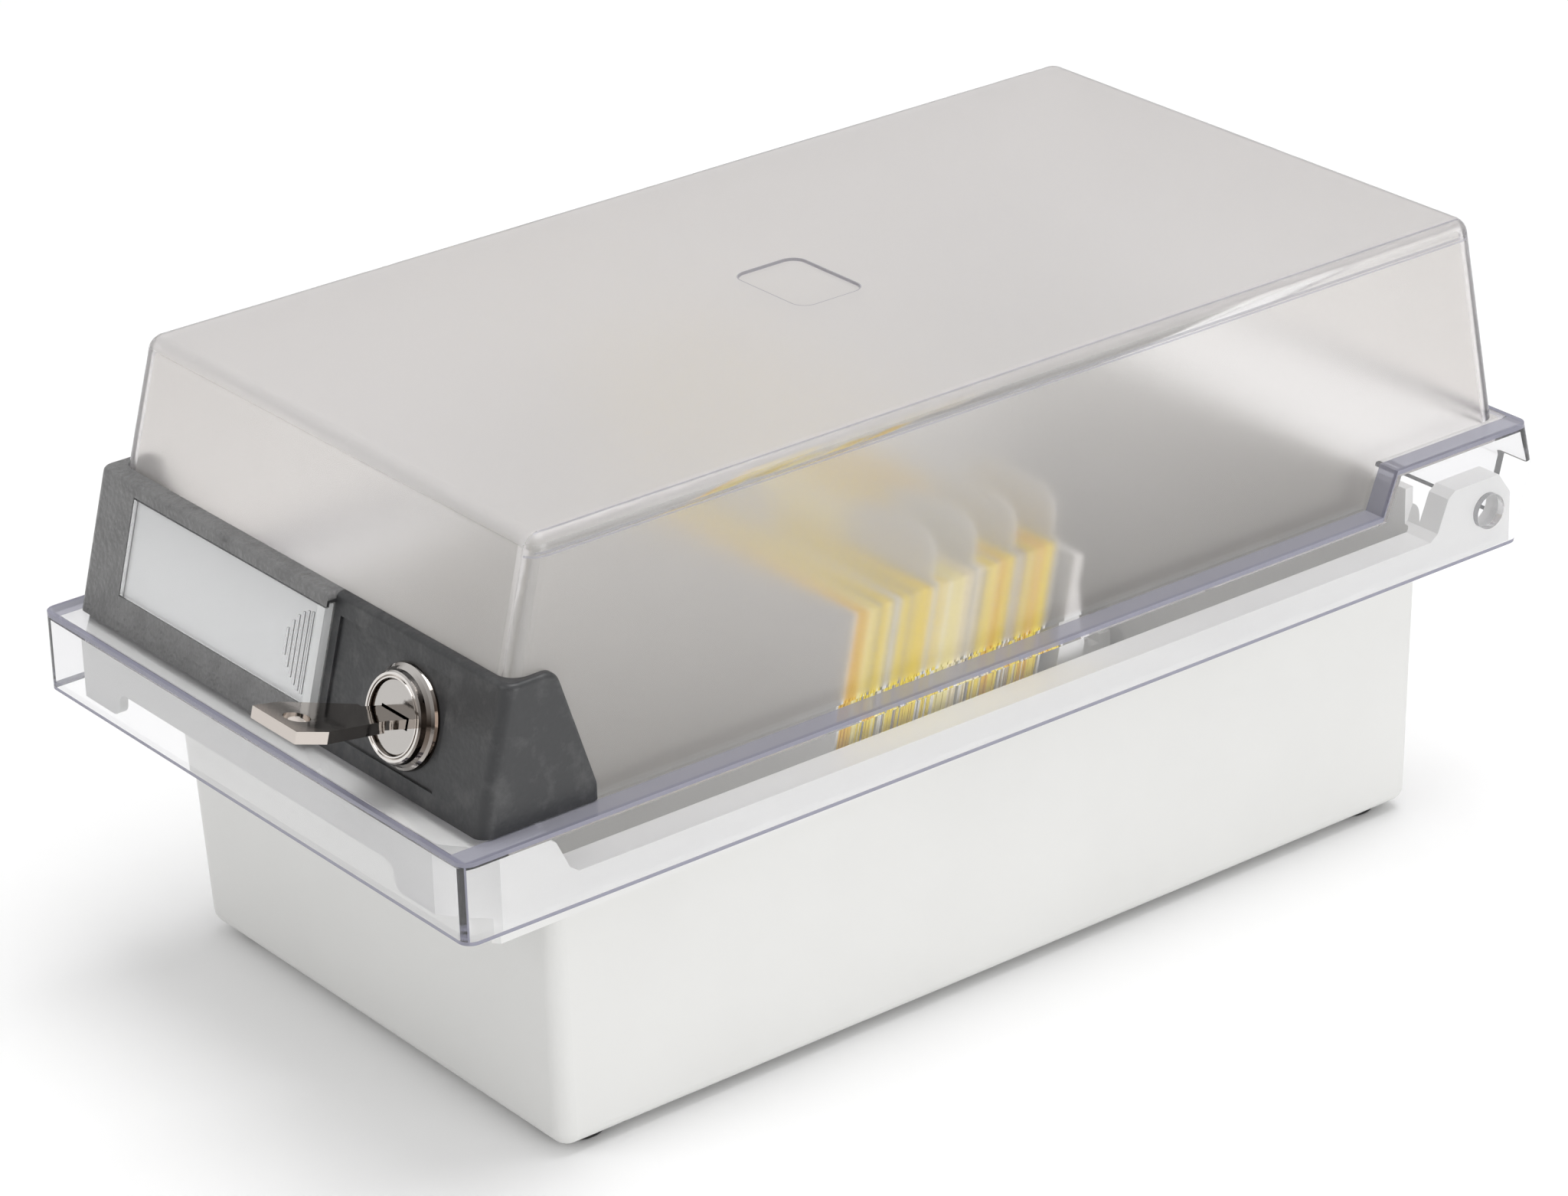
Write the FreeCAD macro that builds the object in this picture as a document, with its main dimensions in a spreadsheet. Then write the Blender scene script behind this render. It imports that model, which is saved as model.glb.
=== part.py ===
import FreeCAD, Part
import math
import os
import Sketcher

# Lockable index card box for landscape cards, millimetres, +Z up.
# The lock and the label face -Y; X runs across the box; Z = 0 is the table.

os.makedirs("parts", exist_ok=True)
doc = FreeCAD.newDocument("CardBox")
V = FreeCAD.Vector

DIMENSIONS = [
    # lid: clear skirt, ledge and drafted dome
    ("lid_wall", 1.8),
    ("skirt_wide", 133.0),
    ("skirt_front", 125.5),
    ("skirt_rear", 125.5),
    ("skirt_low", 55.0),
    ("skirt_corner", 2.6),
    ("ledge_top", 70.5),
    ("ledge_rear_top", 79.0),
    ("ledge_step", 88.5),
    ("step_slant", 3.5),
    ("rear_bulge_up", 69.4),
    ("rear_top_inset", 2.5),
    ("rear_low_inset", 4.0),
    ("rear_wall_low", 58.5),
    ("dome_top", 121.0),
    ("dome_foot_wide", 121.6),
    ("dome_foot_front", 117.0),
    ("dome_foot_rear", 122.0),
    ("dome_crown_wide", 119.4),
    ("dome_crown_front", 103.4),
    ("dome_crown_rear", 113.3),
    ("dome_corner", 3.6),
    ("dome_brim", 3.2),
    ("pad_wide", 21.0),
    ("pad_long", 15.0),
    ("pad_deep", 0.5),
    ("pad_round", 3.0),
    # hinge
    ("hinge_y", 114.4),
    ("hinge_up", 62.7),
    ("hinge_stud", 3.5),
    ("hinge_hole", 3.55),
    ("hinge_boss", 6.2),
    ("boss_gap_wide", 114.0),
    ("stud_inner_wide", 123.2),
    # tray
    ("tray_wall", 2.0),
    ("tray_low", 1.5),
    ("tray_foot_wide", 113.2),
    ("tray_foot_front", 101.2),
    ("tray_foot_rear", 103.4),
    ("tray_rim_wide", 118.6),
    ("tray_rim_front", 103.6),
    ("tray_rim_rear", 102.8),
    ("tray_corner", 3.2),
    ("tray_edge", 3.0),
    ("rim_top", 68.3),
    ("rim_rear_top", 69.2),
    ("rim_wide", 127.0),
    ("rim_front", 123.0),
    ("rim_skin", 1.8),
    ("rim_low", 51.5),
    ("rim_cut_x", 55.3),
    ("rim_cut_y", 116.6),
    ("recess_top", 60.2),
    ("recess_front", 105.4),
    ("recess_rear", 104.6),
    ("recess_slope", 3.6),
    ("recess_curve", 1.3),
    ("rim_low_rise", 3.0),
    ("apron_curve", 2.4),
    ("apron_front_low", 61.5),
    ("apron_ear_low", 56.5),
    ("apron_ear_x", 43.5),
    ("rail_top", 9.8),
    ("rail_x", 30.0),
    ("rail_wide", 6.0),
    ("rail_front", 95.0),
    ("rail_rear", 99.0),
    ("tooth_gap", 3.0),
    ("tooth_deep", 2.0),
    ("tooth_pitch", 8.0),
    ("tooth_count", 24),
    # keeper hook for the lock
    ("keeper_x", 20.5),
    ("keeper_post", 3.5),
    ("keeper_arm", 8.3),
    ("keeper_mouth", 86.2),
    ("keeper_top", 89.0),
    ("keeper_front", 105.6),
    # feet
    ("foot_radius", 5.5),
    ("foot_tall", 2.3),
    ("foot_inset", 8.8),
    # front panel
    ("panel_wide", 124.4),
    ("panel_front", 118.7),
    ("panel_lean", 15.0),
    ("panel_low", 70.8),
    ("panel_top", 97.2),
    ("panel_gap", 0.1),
    ("panel_corner", 2.5),
    ("panel_ridge", 1.1),
    ("wing_curve", 3.0),
    ("wing_top_rear", 101.4),
    ("wing_low_rear", 94.0),
    ("label_raise", 1.8),
    ("label_left", 49.8),
    ("label_right", 12.0),
    ("label_low", 6.2),
    ("label_high", 24.9),
    ("label_lip", 0.5),
    ("label_groove", 0.9),
    ("label_deep", 0.4),
    ("inset_left", 14.0),
    ("inset_right", 47.0),
    ("inset_low", 3.5),
    ("inset_high", 24.0),
    ("inset_deep", 0.5),
    # lock
    ("lock_x", 36.1),
    ("lock_up", 13.5),
    ("barrel_radius", 8.0),
    ("barrel_long", 12.0),
    ("bezel_radius", 9.4),
    ("bezel_out", 3.2),
    ("plug_radius", 6.65),
    ("plug_bore", 6.72),
    ("plug_face", 2.6),
    ("tail_side", 5.0),
    ("tail_end", 13.6),
    ("keyway_wide", 8.0),
    ("keyway_tall", 2.3),
    ("keyway_end", 9.8),
    ("nut_flats", 19.0),
    ("nut_start", 3.25),
    ("nut_thick", 3.0),
    ("cam_start", 12.05),
    ("cam_thick", 1.6),
    ("cam_wide", 7.2),
    ("cam_reach", 11.5),
    ("cam_screw_head", 3.6),
    ("cam_screw_thick", 1.7),
    ("cam_screw_shank", 1.2),
    ("cam_screw_tip", 10.4),
    # key
    ("blade_half", 3.7),
    ("blade_thick", 1.7),
    ("blade_tip", 8.5),
    ("bow_thick", 2.2),
    ("bow_neck", 9.0),
    ("bow_wide_at", 21.5),
    ("bow_half", 7.6),
    ("bow_end", 27.4),
    ("bow_end_half", 6.6),
    ("bow_hole_at", 22.9),
    ("bow_hole", 2.4),
    # panel screws
    ("screw_x", 55.8),
    ("screw_low", 7.5),
    ("screw_high", 19.5),
    ("screw_shank", 1.1),
    ("screw_head", 1.8),
    # cards and dividers
    ("card_wide", 105.0),
    ("card_tall", 74.0),
    ("card_lean", 12.5),
    ("stack_front", 47.0),
    ("stack_pitch", 9.4),
    ("divider_thick", 0.5),
    ("tab_tall", 8.5),
    ("tab_wide", 25.0),
    ("tab_round", 5.5),
    # support plate
    ("plate_y", 4.4),
    ("plate_wide", 107.0),
    ("plate_tall", 69.0),
    ("plate_thick", 2.0),
    ("plate_flange", 4.0),
]

# Centre of each divider's tab across the box, from the front divider to the rear one.
TAB_PLACES = (-34, 4, 38, 38, 38, 38)

sheet = doc.addObject("Spreadsheet::Sheet", "Dims")
for row, (alias, value) in enumerate(DIMENSIONS, start=1):
    sheet.set(f"A{row}", alias)
    sheet.set(f"B{row}", str(value))
    sheet.setAlias(f"B{row}", alias)
doc.recompute()


def size(alias):
    return float(getattr(sheet, alias))


def new_body(label):
    body = doc.addObject("PartDesign::Body", label)
    body.Label = label
    return body


def sketch_on(body, name, role, offset=None):
    """A sketch on one of the body's own origin planes, moved out by an expression."""
    sketch = body.newObject("Sketcher::SketchObject", f"{body.Label}_{name}")
    plane = [item for item in body.Origin.OriginFeatures if item.Role == role][0]
    sketch.AttachmentSupport = (plane, "")
    sketch.MapMode = "FlatFace"
    if offset is not None:
        sketch.setExpression("AttachmentOffset.Base.z", offset)
    return sketch


def sketch_on_front(body, name, offset="0"):
    """A sketch on the leaning front plane: x across, y up the slope, z outwards."""
    sketch = sketch_on(body, name, "XZ_Plane")
    sketch.AttachmentOffset = FreeCAD.Placement(V(0, 1, 1), FreeCAD.Rotation(V(-1, 0, 0), 15))
    lift = "Dims.ledge_top"
    reach = "Dims.panel_front"
    sketch.setExpression("AttachmentOffset.Base.y", f"{lift} + ({offset}) * sin(Dims.panel_lean)")
    sketch.setExpression("AttachmentOffset.Base.z", f"{reach} + ({offset}) * cos(Dims.panel_lean)")
    sketch.setExpression("AttachmentOffset.Rotation.Angle", "Dims.panel_lean")
    return sketch


def bind(sketch, constraint, expression):
    index = sketch.addConstraint(constraint)
    name = f"size_{index}"
    sketch.renameConstraint(index, name)
    sketch.setExpression(f"Constraints.{name}", expression)


def pin(sketch, geometry, position, x_text, y_text, guess):
    """Holds one point at sheet-driven coordinates; a leading minus means the negative side."""
    for kind, text, value in (("DistanceX", x_text, guess.x), ("DistanceY", y_text, guess.y)):
        if text == "0":
            axis = -2 if kind == "DistanceX" else -1
            sketch.addConstraint(Sketcher.Constraint("PointOnObject", geometry, position, axis))
        elif text.startswith("-"):
            bind(sketch, Sketcher.Constraint(kind, geometry, position, -1, 1, -value), text[1:])
        else:
            bind(sketch, Sketcher.Constraint(kind, -1, 1, geometry, position, value), text)


def outline(sketch, points):
    """A closed polygon whose corners are pairs of expressions."""
    guesses = []
    for number, (x_text, y_text) in enumerate(points):
        x = 0.0 if x_text == "0" else (-20.0 - number if x_text.startswith("-") else 20.0 + number)
        y = 0.0 if y_text == "0" else (-20.0 - 2 * number if y_text.startswith("-") else 20.0 + 2 * number)
        guesses.append(V(x, y, 0))
    count = len(points)
    first = sketch.GeometryCount
    for number in range(count):
        sketch.addGeometry(Part.LineSegment(guesses[number], guesses[(number + 1) % count]))
    for number in range(count):
        after = first + (number + 1) % count
        sketch.addConstraint(Sketcher.Constraint("Coincident", first + number, 2, after, 1))
    for number, (x_text, y_text) in enumerate(points):
        pin(sketch, first + number, 1, x_text, y_text, guesses[number])
    return sketch


def rectangle(sketch, west, east, south, north):
    return outline(sketch, [(west, south), (east, south), (east, north), (west, north)])


def centred(wide):
    half = f"({wide}) / 2"
    return "-(" + half + ")", half


def circle(sketch, x_text, y_text, radius):
    guess = V(-10.0 if x_text.startswith("-") else 10.0, -10.0 if y_text.startswith("-") else 10.0, 0)
    guess.x = 0.0 if x_text == "0" else guess.x
    guess.y = 0.0 if y_text == "0" else guess.y
    index = sketch.addGeometry(Part.Circle(guess, V(0, 0, 1), 2.0))
    bind(sketch, Sketcher.Constraint("Radius", index, 2.0), radius)
    pin(sketch, index, 3, x_text, y_text, guess)
    return sketch


def feature(body, kind, name, sketch, reversed_way=False):
    item = body.newObject(kind, f"{body.Label}_{name}")
    item.Profile = sketch
    item.Reversed = reversed_way
    return item


def pad(body, name, sketch, length, reversed_way=False):
    item = feature(body, "PartDesign::Pad", name, sketch, reversed_way)
    item.setExpression("Length", length)
    return item


def pad_both(body, name, sketch, length):
    item = feature(body, "PartDesign::Pad", name, sketch)
    item.SideType = "Symmetric"
    item.setExpression("Length", length)
    return item


def pad_sides(body, name, sketch, east, west):
    item = feature(body, "PartDesign::Pad", name, sketch)
    item.SideType = "Two sides"
    item.setExpression("Length", east)
    item.setExpression("Length2", west)
    return item


def pocket(body, name, sketch, length, reversed_way=False):
    """A cut into the side the sketch looks away from; it has to take something off."""
    doc.recompute()
    before = body.Tip.Shape.Volume
    item = feature(body, "PartDesign::Pocket", name, sketch, reversed_way)
    item.setExpression("Length", length)
    check_cut(item, before)
    return item


def pocket_both(body, name, sketch, length):
    doc.recompute()
    before = body.Tip.Shape.Volume
    item = feature(body, "PartDesign::Pocket", name, sketch)
    item.SideType = "Symmetric"
    item.setExpression("Length", length)
    check_cut(item, before)
    return item


def check_cut(item, before):
    doc.recompute()
    if not item.Shape.isValid() or item.Shape.Volume >= before - 1e-4:
        raise RuntimeError(f"{item.Name} cuts nothing")


def loft(body, name, low, high, cutting=False):
    kind = "PartDesign::SubtractiveLoft" if cutting else "PartDesign::AdditiveLoft"
    item = body.newObject(kind, f"{body.Label}_{name}")
    item.Profile = low
    item.Sections = [high]
    item.Ruled = True
    doc.recompute()
    return item


def fillet(body, name, radius, chosen):
    doc.recompute()
    base = body.Tip
    edges = [f"Edge{number}" for number, edge in enumerate(base.Shape.Edges, start=1) if chosen(edge)]
    if not edges:
        raise RuntimeError(f"{name} finds no edge")
    item = body.newObject("PartDesign::Fillet", f"{body.Label}_{name}")
    item.Base = (base, edges)
    item.setExpression("Radius", radius)
    doc.recompute()
    return item


def span(edge):
    box = edge.BoundBox
    return box.XLength, box.YLength, box.ZLength


def put_on_front(body, x_text, up_text, out_text):
    """Moves a body from its own frame to a point of the leaning front plane."""
    body.Placement = FreeCAD.Placement(V(1, 1, 1), FreeCAD.Rotation(V(-1, 0, 0), 15))
    reach = f"Dims.panel_front - ({up_text}) * sin(Dims.panel_lean) + ({out_text}) * cos(Dims.panel_lean)"
    lift = f"Dims.ledge_top + ({up_text}) * cos(Dims.panel_lean) + ({out_text}) * sin(Dims.panel_lean)"
    body.setExpression("Placement.Base.x", x_text)
    body.setExpression("Placement.Base.y", f"-({reach})")
    body.setExpression("Placement.Base.z", lift)
    body.setExpression("Placement.Rotation.Angle", "Dims.panel_lean")


def put_on_lock(body):
    put_on_front(body, "Dims.lock_x", "Dims.lock_up", "-Dims.inset_deep")


def plan_section(body, name, height, wide, front, rear, corner):
    """A level section of a moulding: a rectangle in plan with rounded corners."""
    sketch = sketch_on(body, name, "XY_Plane", height)
    guess = 3.0
    corners = [(-1, -1, math.pi), (1, -1, 1.5 * math.pi), (1, 1, 0.0), (-1, 1, 0.5 * math.pi)]
    arcs = []
    for across, along, start in corners:
        centre = V(across * 57.0, along * 107.0, 0)
        circle_there = Part.Circle(centre, V(0, 0, 1), guess)
        arcs.append(sketch.addGeometry(Part.ArcOfCircle(circle_there, start, start + 0.5 * math.pi)))
    for number in range(4):
        this, after = arcs[number], arcs[(number + 1) % 4]
        edge = Part.LineSegment(sketch.getPoint(this, 2), sketch.getPoint(after, 1))
        line = sketch.addGeometry(edge)
        sketch.addConstraint(Sketcher.Constraint("Tangent", this, 2, line, 1))
        sketch.addConstraint(Sketcher.Constraint("Tangent", line, 2, after, 1))
    for arc, (across, along, start) in zip(arcs, corners):
        bind(sketch, Sketcher.Constraint("Radius", arc, guess), corner)
        x_text = f"({wide}) / 2 - ({corner})"
        y_text = f"({front if along < 0 else rear}) - ({corner})"
        x_text = f"-({x_text})" if across < 0 else x_text
        y_text = f"-({y_text})" if along < 0 else y_text
        pin(sketch, arc, 3, x_text, y_text, V(across * 57.0, along * 107.0, 0))
    return sketch


def make_lid():
    body = new_body("lid")
    west, east = centred("Dims.skirt_wide")
    skirt = sketch_on(body, "skirt", "XY_Plane", "Dims.skirt_low")
    rectangle(skirt, west, east, "-Dims.skirt_front", "Dims.skirt_rear")
    pad(body, "skirt_block", skirt, "Dims.ledge_top - Dims.skirt_low")
    raised = sketch_on(body, "raised", "YZ_Plane")
    outline(raised, [
        ("Dims.ledge_step - Dims.step_slant", "Dims.ledge_top"),
        ("Dims.ledge_step", "Dims.ledge_rear_top"),
        ("Dims.skirt_rear", "Dims.ledge_rear_top"),
        ("Dims.skirt_rear", "Dims.ledge_top"),
    ])
    pad_both(body, "raised_block", raised, "Dims.skirt_wide")
    trim = sketch_on(body, "rear_trim_upper", "YZ_Plane")
    outline(trim, [
        ("Dims.skirt_rear", "Dims.rear_bulge_up"),
        ("Dims.skirt_rear + 5", "Dims.rear_bulge_up"),
        ("Dims.skirt_rear + 5", "Dims.ledge_rear_top + 1"),
        ("Dims.skirt_rear - Dims.rear_top_inset", "Dims.ledge_rear_top + 1"),
    ])
    pocket_both(body, "rear_slope_upper", trim, "Dims.skirt_wide + 2")
    trim = sketch_on(body, "rear_trim_lower", "YZ_Plane")
    outline(trim, [
        ("Dims.skirt_rear", "Dims.rear_bulge_up"),
        ("Dims.skirt_rear - Dims.rear_low_inset", "Dims.skirt_low - 0.1"),
        ("Dims.skirt_rear + 5", "Dims.skirt_low - 0.1"),
        ("Dims.skirt_rear + 5", "Dims.rear_bulge_up"),
    ])
    pocket_both(body, "rear_slope_lower", trim, "Dims.skirt_wide + 2")
    half = size("skirt_wide") / 2

    def upright_corner(edge):
        across, along, tall = span(edge)
        at_end = abs(edge.BoundBox.YMin) > 110
        return across < 0.01 and tall > 5 and at_end and abs(abs(edge.BoundBox.XMin) - half) < 0.01

    fillet(body, "skirt_corners", "Dims.skirt_corner", upright_corner)
    foot = plan_section(body, "dome_foot", "Dims.ledge_top", "Dims.dome_foot_wide",
                        "Dims.dome_foot_front", "Dims.dome_foot_rear", "Dims.dome_corner")
    crown = plan_section(body, "dome_crown", "Dims.dome_top", "Dims.dome_crown_wide",
                         "Dims.dome_crown_front", "Dims.dome_crown_rear", "Dims.dome_corner")
    loft(body, "dome", foot, crown)

    def crown_edge(edge):
        return edge.BoundBox.ZMin > size("dome_top") - 0.01

    fillet(body, "dome_brim", "Dims.dome_brim", crown_edge)
    hollow = sketch_on(body, "hollow", "YZ_Plane")
    outline(hollow, [
        ("-(Dims.skirt_front - Dims.lid_wall)", "Dims.skirt_low - 1"),
        ("-(Dims.skirt_front - Dims.lid_wall)", "Dims.ledge_top - Dims.lid_wall"),
        ("Dims.ledge_step - Dims.step_slant + Dims.lid_wall", "Dims.ledge_top - Dims.lid_wall"),
        ("Dims.ledge_step + Dims.lid_wall", "Dims.ledge_rear_top - Dims.lid_wall"),
        ("Dims.skirt_rear - Dims.rear_top_inset - Dims.lid_wall + 0.4",
         "Dims.ledge_rear_top - Dims.lid_wall"),
        ("Dims.skirt_rear - Dims.lid_wall", "Dims.rear_bulge_up"),
        ("Dims.skirt_rear - Dims.rear_low_inset - Dims.lid_wall - 0.3", "Dims.skirt_low - 1"),
    ])
    pocket_both(body, "skirt_inside", hollow, "Dims.skirt_wide - 2 * Dims.lid_wall")
    foot = plan_section(body, "inner_foot", "Dims.ledge_top - Dims.lid_wall - 0.5",
                        "Dims.dome_foot_wide - 2 * Dims.lid_wall",
                        "Dims.dome_foot_front - Dims.lid_wall + 0.57",
                        "Dims.dome_foot_rear - Dims.lid_wall + 0.35", "Dims.dome_corner - Dims.lid_wall")
    crown = plan_section(body, "inner_crown", "Dims.dome_top - Dims.lid_wall",
                         "Dims.dome_crown_wide - 2 * Dims.lid_wall",
                         "Dims.dome_crown_front - Dims.lid_wall + 0.42",
                         "Dims.dome_crown_rear - Dims.lid_wall + 0.28", "Dims.dome_corner - Dims.lid_wall")
    loft(body, "dome_inside", foot, crown, cutting=True)
    shorten = sketch_on(body, "rear_wall_cut", "XY_Plane", "Dims.skirt_low - 1")
    west, east = centred("Dims.skirt_wide - 2 * Dims.lid_wall")
    rectangle(shorten, west, east, "Dims.hinge_y", "Dims.skirt_rear + 2")
    pocket(body, "rear_wall_edge", shorten, "Dims.rear_wall_low - Dims.skirt_low + 1", reversed_way=True)
    for side in ("", "-"):
        name = "west" if side else "east"
        notch = sketch_on(body, f"boss_notch_{name}", "XY_Plane", "Dims.skirt_low - 1")
        inner, outer = f"{side}(Dims.boss_gap_wide / 2)", f"{side}(Dims.skirt_wide / 2 - Dims.lid_wall)"
        rectangle(notch, inner, outer, "Dims.hinge_y", "Dims.skirt_rear + 2")
        high = "Dims.rear_bulge_up - Dims.skirt_low + 2"
        pocket(body, f"boss_notch_{name}_cut", notch, high, reversed_way=True)
    stud = sketch_on(body, "stud", "YZ_Plane")
    circle(stud, "Dims.hinge_y", "Dims.hinge_up", "Dims.hinge_stud")
    pad_both(body, "stud_bar", stud, "Dims.skirt_wide - Dims.lid_wall")
    gap = sketch_on(body, "stud_gap", "YZ_Plane")
    circle(gap, "Dims.hinge_y", "Dims.hinge_up", "Dims.hinge_stud + 0.5")
    pocket_both(body, "stud_ends", gap, "Dims.stud_inner_wide")
    hole = sketch_on_front(body, "lock_hole", "3")
    circle(hole, "Dims.lock_x", "Dims.lock_up", "Dims.barrel_radius + 0.15")
    pocket(body, "lock_bore", hole, "12")
    for name, up in (("low", "Dims.screw_low"), ("high", "Dims.screw_high")):
        hole = sketch_on_front(body, f"screw_hole_{name}", "3")
        circle(hole, "-Dims.screw_x", up, "Dims.screw_shank + 0.15")
        pocket(body, f"screw_bore_{name}", hole, "12")
    mark = sketch_on(body, "top_pad", "XY_Plane", "Dims.dome_top")
    west, east = centred("Dims.pad_wide")
    south, north = centred("Dims.pad_long")
    rectangle(mark, west, east, south, north)
    pocket(body, "top_pad_sink", mark, "Dims.pad_deep")

    def pad_corner(edge):
        across, along, tall = span(edge)
        return abs(tall - size("pad_deep")) < 0.01 and across < 0.01 and along < 0.01

    fillet(body, "top_pad_corners", "Dims.pad_round", pad_corner)
    return body


def make_tray():
    body = new_body("tray")
    rim = sketch_on(body, "rim_side", "YZ_Plane")
    outline(rim, [
        ("-Dims.rim_front", "Dims.rim_low"),
        ("-Dims.rim_front", "Dims.rim_top"),
        ("Dims.recess_rear", "Dims.rim_top"),
        ("Dims.recess_rear + 0.5", "Dims.rim_rear_top"),
        ("Dims.hinge_y + 3", "Dims.rim_rear_top"),
        ("Dims.hinge_y + Dims.hinge_boss", "Dims.hinge_up + 2"),
        ("Dims.hinge_y + Dims.hinge_boss", "Dims.rim_low + Dims.rim_low_rise"),
    ])
    pad_both(body, "rim_block", rim, "Dims.rim_wide")
    for side, name in (("", "east"), ("-", "west")):
        corner = sketch_on(body, f"corner_{name}", "XY_Plane", "Dims.rim_top + 1")
        outline(corner, [
            (f"{side}Dims.rim_cut_x", "-Dims.rim_front"),
            (f"{side}(Dims.rim_wide / 2)", "-Dims.rim_cut_y"),
            (f"{side}(Dims.rim_wide / 2 + 4)", "-Dims.rim_cut_y"),
            (f"{side}(Dims.rim_wide / 2 + 4)", "-(Dims.rim_front + 3)"),
            (f"{side}Dims.rim_cut_x", "-(Dims.rim_front + 3)"),
        ])
        pocket(body, f"corner_cut_{name}", corner, "30")
    under = sketch_on(body, "under_side", "YZ_Plane")
    outline(under, [
        ("-(Dims.rim_cut_y - 0.6)", "Dims.rim_low - 2"),
        ("-(Dims.rim_cut_y - 0.6)", "Dims.rim_top - Dims.rim_skin"),
        ("-(Dims.recess_front + 1.2)", "Dims.rim_top - Dims.rim_skin"),
        ("-(Dims.recess_front - Dims.recess_slope + 1.2)", "Dims.recess_top - Dims.rim_skin"),
        ("Dims.recess_rear - Dims.recess_slope + 1.2", "Dims.recess_top - Dims.rim_skin"),
        ("Dims.recess_rear + 1.2", "Dims.rim_top - Dims.rim_skin"),
        ("Dims.hinge_y + 1.8", "Dims.rim_top - Dims.rim_skin"),
        ("Dims.hinge_y + Dims.hinge_boss - Dims.rim_skin", "Dims.hinge_up + 1"),
        ("Dims.hinge_y + Dims.hinge_boss - Dims.rim_skin", "Dims.rim_low - 2"),
    ])
    pocket_both(body, "under_rim", under, "Dims.rim_wide - 2 * Dims.rim_skin")
    under = sketch_on(body, "under_front", "XY_Plane", "Dims.rim_low - 1")
    west, east = centred("2 * Dims.rim_cut_x - 2")
    rectangle(under, west, east, "-(Dims.rim_front - Dims.rim_skin)", "-(Dims.rim_cut_y - 2)")
    high = "Dims.rim_top - Dims.rim_skin - Dims.rim_low + 1"
    pocket(body, "under_front_rim", under, high, reversed_way=True)
    ear = sketch_on(body, "apron_ears", "XZ_Plane", "Dims.rim_cut_y + 1")
    west, east = centred("Dims.rim_wide")
    rectangle(ear, west, east, "Dims.rim_low - 1", "Dims.apron_ear_low")
    pocket(body, "apron_ear_edge", ear, "8", reversed_way=True)
    arch = sketch_on(body, "apron_arch", "XZ_Plane", "Dims.rim_cut_y + 1")
    west, east = centred("2 * Dims.apron_ear_x")
    rectangle(arch, west, east, "Dims.rim_low - 1", "Dims.apron_front_low")
    pocket(body, "apron_arch_edge", arch, "8", reversed_way=True)

    def arch_corner(edge):
        across, along, tall = span(edge)
        at_ear = abs(abs(edge.BoundBox.XMin) - size("apron_ear_x")) < 0.01
        return at_ear and across < 0.01 and tall < 0.01 and along < 3

    fillet(body, "apron_curves", "Dims.apron_curve", arch_corner)
    rear = sketch_on(body, "rear_rim", "XY_Plane", "Dims.rim_low - 1")
    west, east = centred("Dims.tray_rim_wide - 2")
    rectangle(rear, west, east, "Dims.tray_rim_rear - 1", "Dims.hinge_y + 8")
    pocket(body, "rear_rim_cut", rear, "30", reversed_way=True)
    boss = sketch_on(body, "hinge_boss", "YZ_Plane")
    circle(boss, "Dims.hinge_y", "Dims.hinge_up", "Dims.hinge_boss")
    pad_both(body, "hinge_boss_bar", boss, "Dims.rim_wide")
    gap = sketch_on(body, "hinge_boss_gap", "YZ_Plane")
    circle(gap, "Dims.hinge_y", "Dims.hinge_up", "Dims.hinge_boss + 0.2")
    pocket_both(body, "hinge_boss_ends", gap, "Dims.tray_rim_wide - 2")
    low = plan_section(body, "shell_low", "Dims.tray_low", "Dims.tray_foot_wide",
                       "Dims.tray_foot_front", "Dims.tray_foot_rear", "Dims.tray_corner")
    high = plan_section(body, "shell_high", "Dims.rim_top", "Dims.tray_rim_wide",
                        "Dims.tray_rim_front", "Dims.tray_rim_rear", "Dims.tray_corner")
    loft(body, "shell", low, high)

    def shell_bottom(edge):
        return edge.BoundBox.ZMax < size("tray_low") + 0.01

    fillet(body, "shell_bottom", "Dims.tray_edge", shell_bottom)
    for name, offset, away in (("east", "Dims.rim_cut_x", True), ("west", "-Dims.rim_cut_x", False)):
        recess = sketch_on(body, f"recess_{name}", "YZ_Plane", offset)
        outline(recess, [
            ("-(Dims.recess_front + Dims.recess_curve)", "Dims.rim_top + 8"),
            ("-(Dims.recess_front + Dims.recess_curve)", "Dims.rim_top"),
            ("-(Dims.recess_front - 0.5)", "Dims.rim_top - Dims.recess_curve"),
            ("-(Dims.recess_front - Dims.recess_slope + 0.5)", "Dims.recess_top + Dims.recess_curve"),
            ("-(Dims.recess_front - Dims.recess_slope - Dims.recess_curve)", "Dims.recess_top"),
            ("Dims.recess_rear - Dims.recess_slope - Dims.recess_curve", "Dims.recess_top"),
            ("Dims.recess_rear - Dims.recess_slope + 0.5", "Dims.recess_top + Dims.recess_curve"),
            ("Dims.recess_rear - 0.5", "Dims.rim_rear_top - Dims.recess_curve"),
            ("Dims.recess_rear + Dims.recess_curve", "Dims.rim_rear_top"),
            ("Dims.recess_rear + Dims.recess_curve", "Dims.rim_top + 8"),
        ])
        pocket(body, f"recess_{name}_cut", recess, "12", reversed_way=away)

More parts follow.
